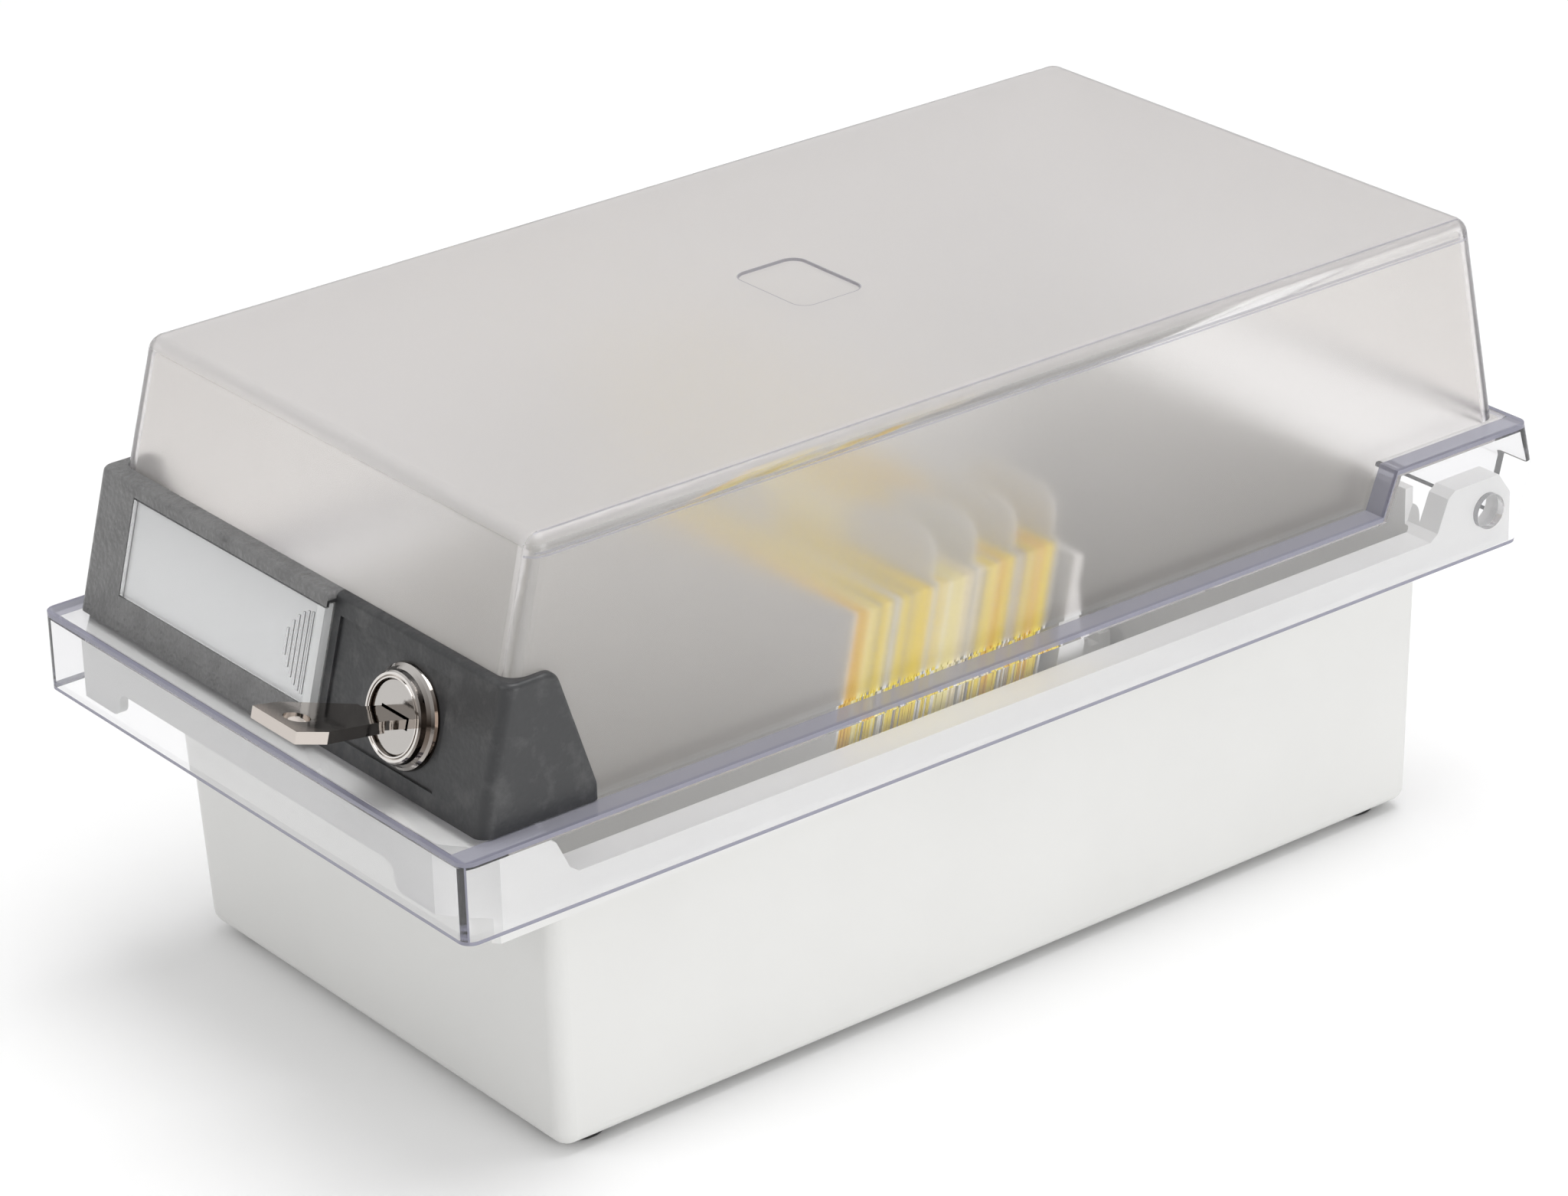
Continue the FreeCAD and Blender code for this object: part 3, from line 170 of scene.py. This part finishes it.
# The studio
FLOOR_REACH = 6.0
FLOOR_GAP = 0.0002
SKY_STRENGTH = 0.65
SKY_LEVELS = ((0.03, (0.92, 0.92, 0.92)), (0.09, (0.16, 0.14, 0.125)), (0.5, (1.0, 1.0, 1.0)))
SOFTBOXES = (
    ("side_light", (1.7, 0.1, 0.45), 0.9, 8.5),
    ("top_light", (0.1, 0.3, 1.8), 1.2, 17.0),
    ("front_light", (-0.6, -1.5, 0.9), 1.0, 4.5),
)


def grey(value):
    return (value, value, value)


# ---------------------------------------------------------------- materials

class Shader:
    """A node material around one Principled shader."""

    def __init__(self, name, colour, roughness, **sockets):
        self.material = bpy.data.materials.new(name)
        self.material.use_nodes = True
        self.tree = self.material.node_tree
        self.shader = self.tree.nodes["Principled BSDF"]
        self.output = self.tree.nodes["Material Output"]
        self.set("Base Color", (*colour, 1.0))
        self.set("Roughness", roughness)
        for socket, value in sockets.items():
            self.set(socket.replace("_", " "), value)

    def set(self, socket, value):
        self.shader.inputs[socket].default_value = value

    def node(self, kind, **settings):
        made = self.tree.nodes.new(kind)
        for name, value in settings.items():
            if name in made.inputs:
                made.inputs[name].default_value = value
            else:
                setattr(made, name, value)
        return made

    def link(self, start, end):
        self.tree.links.new(start, end)

    def feed(self, start, socket):
        self.link(start, self.shader.inputs[socket])

    def place(self):
        """Object coordinates, which are the frame's metres and move with the piece."""
        return self.node("ShaderNodeTexCoord").outputs["Object"]

    def axes(self):
        made = self.node("ShaderNodeSeparateXYZ")
        self.link(self.place(), made.inputs[0])
        return made.outputs

    def noise(self, scale, detail=2.0, rough=0.5, vector=None):
        made = self.node("ShaderNodeTexNoise", Scale=scale, Detail=detail, Roughness=rough)
        self.link(vector or self.place(), made.inputs["Vector"])
        return made.outputs["Fac"]

    def ramp(self, source, stops):
        made = self.node("ShaderNodeValToRGB")
        elements = made.color_ramp.elements
        while len(elements) < len(stops):
            elements.new(0.5)
        for element, (place, colour) in zip(elements, stops):
            element.position = place
            element.color = (*colour, 1.0)
        self.link(source, made.inputs["Fac"])
        return made.outputs["Color"]

    def math(self, operation, first, second=0.0):
        made = self.node("ShaderNodeMath", operation=operation)
        for socket, value in zip(made.inputs, (first, second)):
            if isinstance(value, (int, float)):
                socket.default_value = value
            else:
                self.link(value, socket)
        return made.outputs[0]

    def plus(self, first, second):
        return self.math("ADD", first, second)

    def minus(self, first, second):
        return self.math("SUBTRACT", first, second)

    def times(self, first, second):
        return self.math("MULTIPLY", first, second)

    def size_of(self, source):
        return self.math("ABSOLUTE", source)

    def above(self, source, edge):
        return self.math("GREATER_THAN", source, edge)

    def below(self, source, edge):
        return self.math("LESS_THAN", source, edge)

    def both(self, *masks):
        made = masks[0]
        for mask in masks[1:]:
            made = self.times(made, mask)
        return made

    def most(self, *values):
        made = values[0]
        for value in values[1:]:
            made = self.math("MAXIMUM", made, value)
        return made

    def between(self, source, low, high):
        """0 below low, 1 above high, straight between."""
        made = self.node("ShaderNodeMapRange", clamp=True)
        self.link(source, made.inputs["Value"])
        made.inputs["From Min"].default_value = low
        made.inputs["From Max"].default_value = high
        return made.outputs["Result"]

    def near(self, source, middle, reach):
        """1 within reach of middle."""
        made = self.node("ShaderNodeMath", operation="COMPARE")
        self.link(source, made.inputs[0])
        made.inputs[1].default_value = middle
        made.inputs[2].default_value = reach
        return made.outputs[0]

    def mix(self, factor, first, second):
        made = self.node("ShaderNodeMix", data_type="RGBA")
        self.link(factor, made.inputs["Factor"])
        for socket, value in zip((made.inputs[6], made.inputs[7]), (first, second)):
            if isinstance(value, tuple):
                socket.default_value = (*value, 1.0)
            else:
                self.link(value, socket)
        return made.outputs[2]

    def bump(self, height, distance, strength=1.0):
        made = self.node("ShaderNodeBump", Distance=distance, Strength=strength)
        self.link(height, made.inputs["Height"])
        self.feed(made.outputs["Normal"], "Normal")
        return made


def tray_plastic():
    """Light moulding with a fine grain and a faint unevenness of tone."""
    shader = Shader("tray_plastic", (0.76, 0.76, 0.745), 0.42, Specular_IOR_Level=0.4)
    grain = shader.noise(scale=2600.0, detail=3.0)
    shader.bump(grain, distance=0.00002, strength=0.35)
    patch = shader.noise(scale=30.0, detail=3.0)
    shader.feed(shader.ramp(patch, TRAY_TONES), "Base Color")
    shader.feed(shader.between(grain, low=-1.0, high=2.5), "Roughness")
    return shader.material


def rubber():
    shader = Shader("rubber", grey(0.02), 0.7)
    shader.bump(shader.noise(scale=1500.0), distance=0.00003, strength=0.5)
    return shader.material


def clear_strips(shader, across, y, z, rise):
    """1 along the dome's long upper edges and its front corners, which are less frosted."""
    upper_edge = shader.both(shader.above(across, STRIP_HALF), shader.above(z, STRIP_LOW))
    half = shader.minus(DOME_HALF, shader.times(rise, SIDE_DRAFT))
    front = shader.minus(shader.times(rise, FRONT_DRAFT), DOME_FRONT)
    beside = shader.below(shader.minus(half, across), CORNER_STRIP)
    before = shader.below(shader.minus(y, front), CORNER_STRIP)
    return shader.most(upper_edge, shader.both(beside, before))


def pad_outline(shader, across, y):
    """1 on the rounded outline of the shallow pad in the middle of the dome's top."""
    beyond = []
    for place, half in ((across, PAD_HALF_WIDE), (shader.size_of(y), PAD_HALF_LONG)):
        past = shader.most(shader.minus(place, half - PAD_ROUND), 0.0)
        beyond.append(shader.times(past, past))
    reach = shader.math("SQRT", shader.plus(*beyond))
    return shader.near(reach, PAD_ROUND, LINE_HALF)


def cut_edges(shader, across, y, z, depth, dome):
    """1 near the skirt's edges, where a point is close to more than one outer face."""
    more_than_one = 1.5
    lean = shader.times(shader.size_of(shader.minus(z, REAR_WAIST)), REAR_LEAN)
    end = shader.most(shader.times(y, -1.0), shader.plus(y, lean))
    near_side = shader.above(across, SKIRT_HALF - SIDE_REACH)
    near_end = shader.above(end, SKIRT_REACH - END_REACH)
    near_hem = shader.below(z, SKIRT_LOW + HEM_REACH)
    near_level = shader.most(shader.below(depth, SIDE_REACH), near_hem)
    closeness = shader.plus(shader.plus(near_side, near_end), near_level)
    return shader.both(shader.above(closeness, more_than_one), shader.minus(1.0, dome))


def fine_lines(shader, across, y, z, top):
    """1 on the lines beside the clearer strips and round the pad."""
    at_top = shader.above(z, DOME_TOP - LEDGE_SKIN)
    beside_top = shader.both(shader.near(across, STRIP_HALF, LINE_HALF), at_top)
    beside_wall = shader.both(shader.near(z, STRIP_LOW, LINE_HALF), shader.above(across, STRIP_HALF))
    return shader.most(beside_top, beside_wall, shader.both(pad_outline(shader, across, y), top))


def violet_parts(shader, across, y, z, dome, top):
    """How violet the clear plastic looks: cut edges, the long ledges and the fine lines. On the cut
    edges and ledges the violet is painted, standing in for light seen through the plastic's thickness.
    """
    raised = shader.times(shader.between(y, STEP_START, STEP_END), STEP_RISE)
    depth = shader.minus(shader.plus(raised, LEDGE_TOP), z)
    edge = cut_edges(shader, across, y, z, depth, dome)
    ledge = shader.both(shader.below(depth, LEDGE_SKIN), shader.above(across, DOME_HALF + SIDE_REACH))
    lines = fine_lines(shader, across, y, z, top)
    return shader.most(shader.times(edge, EDGE_PAINTED_VIOLET), shader.times(ledge, LEDGE_PAINTED_VIOLET),
                       shader.times(lines, LINE_VIOLET))


def lid_plastic():
    """Clear skirt and ledges under a frosted dome."""
    shader = Shader("lid_plastic", (0.97, 0.97, 0.975), 0.03, IOR=1.5)
    x, y, z = shader.axes()
    across = shader.size_of(x)
    rise = shader.minus(z, LEDGE_TOP)
    raised = shader.between(rise, low=0.0003, high=0.0007)
    dome = shader.both(raised, shader.below(across, DOME_HALF), shader.below(y, DOME_REAR))
    top = shader.between(z, low=DOME_TOP - 0.0025, high=DOME_TOP - 0.0015)
    clearer = shader.times(clear_strips(shader, across, y, z, rise), STRIP_CLEAR)
    frost = shader.times(dome, shader.minus(1.0, clearer))
    violet = violet_parts(shader, across, y, z, dome, top)

    rough = shader.plus(shader.times(frost, FROST_ROUGH), CLEAR_ROUGH)
    top_rough = shader.times(shader.both(frost, top), TOP_ROUGH)
    shader.feed(shader.plus(rough, top_rough), "Roughness")

    # Painted light: haze that grows with height makes the frosted walls lighter towards the top, a
    # painted gradient of light and shade.
    painted_light_climb = shader.times(frost, shader.between(rise, low=0.0, high=0.05))
    haze = shader.plus(shader.times(painted_light_climb, FROST_HAZE), shader.times(top, TOP_HAZE))
    haze = shader.most(shader.plus(haze, CLEAR_HAZE), violet)
    shader.feed(shader.minus(1.0, haze), "Transmission Weight")

    tone = shader.mix(frost, CLEAR_TONE, FROST_TONE)
    # The top face takes a painted-shade tone, darker than the rest of the frost.
    tone = shader.mix(top, tone, TOP_PAINTED_SHADE)
    # Painted violet on cut edges and ledges, standing in for light seen through the plastic's
    # thickness.
    shader.feed(shader.mix(violet, tone, VIOLET_TONE), "Base Color")
    bump = shader.bump(shader.noise(scale=4200.0), distance=0.00003)
    shader.link(shader.times(frost, FROST_GRAIN), bump.inputs["Strength"])
    let_light_in(shader, shader.minus(LIGHT_PASSED, shader.times(top, TOP_SHADE)))
    absorb = shader.node("ShaderNodeVolumeAbsorption", Color=VOLUME_TONE, Density=VOLUME_DENSITY)
    shader.link(absorb.outputs[0], shader.output.inputs["Volume"])
    return shader.material


def let_light_in(shader, tint):
    """Shadow rays pass the clear walls, so that lamps light what is inside."""
    path = shader.node("ShaderNodeLightPath")
    clear = shader.node("ShaderNodeBsdfTransparent")
    shader.link(tint, clear.inputs["Color"])
    mix = shader.node("ShaderNodeMixShader")
    shader.link(path.outputs["Is Shadow Ray"], mix.inputs[0])
    shader.link(shader.shader.outputs[0], mix.inputs[1])
    shader.link(clear.outputs[0], mix.inputs[2])
    shader.link(mix.outputs[0], shader.output.inputs["Surface"])


def window_plastic():
    """Clear, and hazy at the finger grip."""
    shader = Shader("window_plastic", WINDOW_TONE, 0.05, IOR=1.49, Transmission_Weight=1.0)
    shader.bump(shader.noise(scale=60.0), distance=0.00005, strength=0.1)
    x = shader.axes()[0]
    grip = shader.above(x, GRIP_START)
    shader.feed(shader.minus(WINDOW_CLEAR, shader.times(grip, GRIP_HAZE)), "Transmission Weight")
    shader.feed(shader.mix(grip, WINDOW_TONE, GRIP_TONE), "Base Color")
    let_light_in(shader, shader.minus(WINDOW_PASSED, shader.times(grip, GRIP_SHADE)))
    return shader.material


def panel_plastic():
    """Dark grey with a leather grain beside the label, smoother and darker round the lock."""
    shader = Shader("panel_plastic", (0.05, 0.052, 0.055), 0.38, Specular_IOR_Level=0.55)
    x = shader.axes()[0]
    label_side = shader.below(x, LABEL_STEP)
    cells = shader.node("ShaderNodeTexVoronoi", feature="SMOOTH_F1", Scale=1100.0, Randomness=1.0)
    shader.link(shader.place(), cells.inputs["Vector"])
    creases = shader.noise(scale=700.0, detail=4.0, rough=0.6)
    bump = shader.bump(shader.plus(cells.outputs["Distance"], creases), distance=0.0004)
    strength = shader.plus(shader.times(label_side, GRAIN_EXTRA), GRAIN_BASE)
    shader.link(strength, bump.inputs["Strength"])
    patch = shader.noise(scale=160.0, detail=5.0, rough=0.65)
    patch = shader.times(patch, shader.plus(label_side, PATCH_BASE))
    shader.feed(shader.ramp(patch, PANEL_TONES), "Base Color")
    shader.feed(shader.between(creases, low=-0.9, high=2.6), "Roughness")
    return shader.material


def paper(name, colour):
    shader = Shader(name, colour, 0.75)
    shader.bump(shader.noise(scale=1800.0, detail=3.0), distance=0.00002, strength=0.4)
    return shader.material


def white_plastic():
    shader = Shader("white_plastic", (0.84, 0.84, 0.83), 0.4)
    shader.bump(shader.noise(scale=1500.0), distance=0.00002, strength=0.3)
    return shader.material


def metal(name, bright, roughness, painted_dark_reflection=None):
    """Polished or plated metal; faces turned to the +X side may be given a darker tone, a painted dark
    reflection.
    """
    shader = Shader(name, bright, roughness, Metallic=1.0)
    long_marks = shader.node("ShaderNodeMapping", Scale=(1.0, 0.15, 1.0))
    shader.link(shader.place(), long_marks.inputs["Vector"])
    marks = shader.noise(scale=2500.0, detail=4.0, rough=0.6, vector=long_marks.outputs["Vector"])
    shader.bump(marks, distance=0.00003, strength=0.25)
    smoothest = 0.5 - roughness
    shader.feed(shader.between(marks, low=smoothest, high=smoothest + 3.0), "Roughness")
    # Painted dark reflection: faces turned to +X take the darker tone in place of the dark
    # surroundings they would mirror.
    if painted_dark_reflection:
        facing = shader.node("ShaderNodeSeparateXYZ")
        shader.link(shader.node("ShaderNodeTexCoord").outputs["Normal"], facing.inputs[0])
        turned = shader.between(facing.outputs["X"], low=0.15, high=0.8)
        shader.feed(shader.mix(turned, bright, painted_dark_reflection), "Base Color")
    return shader.material


def card_edges():
    """Each sheet of the bundle takes one of the stack's colours."""
    shader = Shader("card_edges", (0.8, 0.7, 0.3), 0.7)
    tint = shader.node("ShaderNodeVertexColor", layer_name="sheet_colour")
    shader.feed(tint.outputs["Color"], "Base Color")
    return shader.material


# ---------------------------------------------------------------- pieces

def paint(node, material):
    """Gives a CAD piece its material and smooth curves with sharp edges."""
    thing = NODES[node]
    thing.data.materials.clear()
    thing.data.materials.append(material)
    bpy.context.view_layer.objects.active = thing
    for other in bpy.context.selected_objects:
        other.select_set(False)
    thing.select_set(True)
    bpy.ops.object.shade_smooth_by_angle(angle=SMOOTH_ANGLE)


def add_sheet(build, layer, colour, left, right, start, thick, low, top):
    """One card: a thin box leaning backwards."""
    shift = (top - low) * math.tan(CARD_LEAN)
    corners = []
    for x in (left, right):
        foot = ((start, low), (start + thick, low))
        head = ((start + shift + thick, top), (start + shift, top))
        for y, z in foot + head:
            corners.append(build.verts.new((x, y, z)))
    for quad in SHEET_QUADS:
        face = build.faces.new([corners[corner] for corner in quad])
        for loop in face.loops:
            loop[layer] = (*colour, 1.0)


def card_bundle(number, material):
    """Loose sheets that lean as the solid bundle does, each a little higher or lower."""
    node = f"cards_{number}"
    low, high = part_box(node)
    usual_colours = BUNDLES[number - 1]
    depth = high.y - low.y - (high.z - low.z) * math.tan(CARD_LEAN)
    step = depth / SHEET_COUNT
    chooser = random.Random(number)
    mesh = bpy.data.meshes.new(f"card_sheets_{number}")
    build = bmesh.new()
    layer = build.loops.layers.float_color.new("sheet_colour")
    for index in range(SHEET_COUNT):
        usual = usual_colours[index * len(usual_colours) // SHEET_COUNT]
        colour = SHEET_COLOURS[usual if chooser.random() < USUAL_SHARE else chooser.choice(ODD_SHEETS)]
        top = high.z - chooser.uniform(0.0, SHEET_DROP)
        left = low.x + chooser.uniform(0.0, SHEET_SHIFT)
        right = high.x - chooser.uniform(0.0, SHEET_SHIFT)
        start = low.y + index * step
        add_sheet(build, layer, colour, left, right, start, step * SHEET_FILL, low.z, top)
    bmesh.ops.recalc_face_normals(build, faces=build.faces)
    build.to_mesh(mesh)
    build.free()
    piece = bpy.data.objects.new(f"card_sheets_{number}", mesh)
    bpy.context.scene.collection.objects.link(piece)
    mesh.materials.append(material)
    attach(piece, "front_cards" if number == 1 else "tray")
    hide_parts(node)


# ---------------------------------------------------------------- studio

def studio():
    corners = [(-FLOOR_REACH, -FLOOR_REACH, 0), (FLOOR_REACH, -FLOOR_REACH, 0),
               (FLOOR_REACH, FLOOR_REACH, 0), (-FLOOR_REACH, FLOOR_REACH, 0)]
    floor_mesh = bpy.data.meshes.new("floor")
    floor_mesh.from_pydata(corners, [], [(0, 1, 2, 3)])
    floor = bpy.data.objects.new("floor", floor_mesh)
    floor.location.z = -FLOOR_GAP
    floor_mesh.materials.append(Shader("floor_paint", grey(0.96), 0.9).material)
    bpy.context.scene.collection.objects.link(floor)
    world = bpy.data.worlds.new("studio")
    world.use_nodes = True
    sky(world.node_tree)
    bpy.context.scene.world = world
    for name, place, wide, power in SOFTBOXES:
        softbox(name, place, wide, power)
    bpy.context.scene.view_settings.view_transform = "Standard"


def sky(tree):
    """White overhead, darker and warmer lower down, with a pale band at the horizon itself."""
    back = tree.nodes["Background"]
    split = tree.nodes.new("ShaderNodeSeparateXYZ")
    ramp = tree.nodes.new("ShaderNodeValToRGB")
    tree.links.new(tree.nodes.new("ShaderNodeTexCoord").outputs["Generated"], split.inputs[0])
    tree.links.new(split.outputs["Z"], ramp.inputs["Fac"])
    tree.links.new(ramp.outputs["Color"], back.inputs["Color"])
    elements = ramp.color_ramp.elements
    elements.new(0.5)
    for element, (level, colour) in zip(elements, SKY_LEVELS):
        element.position = level
        element.color = (*colour, 1.0)
    back.inputs["Strength"].default_value = SKY_STRENGTH


def softbox(name, place, wide, power):
    lamp = bpy.data.lights.new(name, "AREA")
    lamp.energy = power
    lamp.size = wide
    thing = bpy.data.objects.new(name, lamp)
    thing.location = place
    thing.rotation_mode = "QUATERNION"
    thing.rotation_quaternion = (Vector(place) - TARGET).to_track_quat("Z", "Y")
    bpy.context.scene.collection.objects.link(thing)


def camera():
    lens = bpy.data.cameras.new("camera")
    lens.lens = LENS
    lens.sensor_width = SENSOR_WIDE
    lens.clip_start = 0.01
    lens.clip_end = 50.0
    thing = bpy.data.objects.new("camera", lens)
    bpy.context.scene.collection.objects.link(thing)
    level = math.cos(ELEVATION)
    back = Vector((math.sin(AZIMUTH) * level, -math.cos(AZIMUTH) * level, math.sin(ELEVATION)))
    right = Vector((math.cos(AZIMUTH), math.sin(AZIMUTH), 0.0))
    up = back.cross(right)
    turned_right = right * math.cos(ROLL) + up * math.sin(ROLL)
    turned_up = up * math.cos(ROLL) - right * math.sin(ROLL)
    axes = Matrix((turned_right, turned_up, back)).transposed().to_4x4()
    thing.matrix_world = Matrix.Translation(TARGET + back * DISTANCE) @ axes
    bpy.context.scene.camera = thing


# ---------------------------------------------------------------- assembly

paint("tray", tray_plastic())
paint("lid", lid_plastic())
paint("front_panel", panel_plastic())
paint("label_window", window_plastic())
paint("label_card", paper("label_paper", (0.85, 0.86, 0.85)))
# The chrome and the plug carry a painted dark reflection on faces turned to +X.
paint("lock_barrel", metal("lock_chrome", (0.72, 0.69, 0.66), 0.08, (0.10, 0.075, 0.06)))
paint("lock_plug", metal("plug_metal", (0.50, 0.48, 0.46), 0.25, (0.2, 0.17, 0.15)))
paint("key", metal("key_nickel", (0.60, 0.55, 0.51), 0.14))
paint("support_plate", white_plastic())

foot_rubber = rubber()
zinc = metal("zinc", (0.60, 0.61, 0.62), 0.3)
index_sheet = paper("index_sheet", (0.78, 0.78, 0.76))
for node in NODES:
    if node.startswith("foot_"):
        paint(node, foot_rubber)
    elif node.startswith("divider_"):
        paint(node, index_sheet)
    elif node in ("lock_nut", "lock_cam", "cam_screw", "panel_screws"):
        paint(node, zinc)

sheet_edges = card_edges()
for number in range(1, 1 + len(BUNDLES)):
    card_bundle(number, sheet_edges)
studio()
camera()
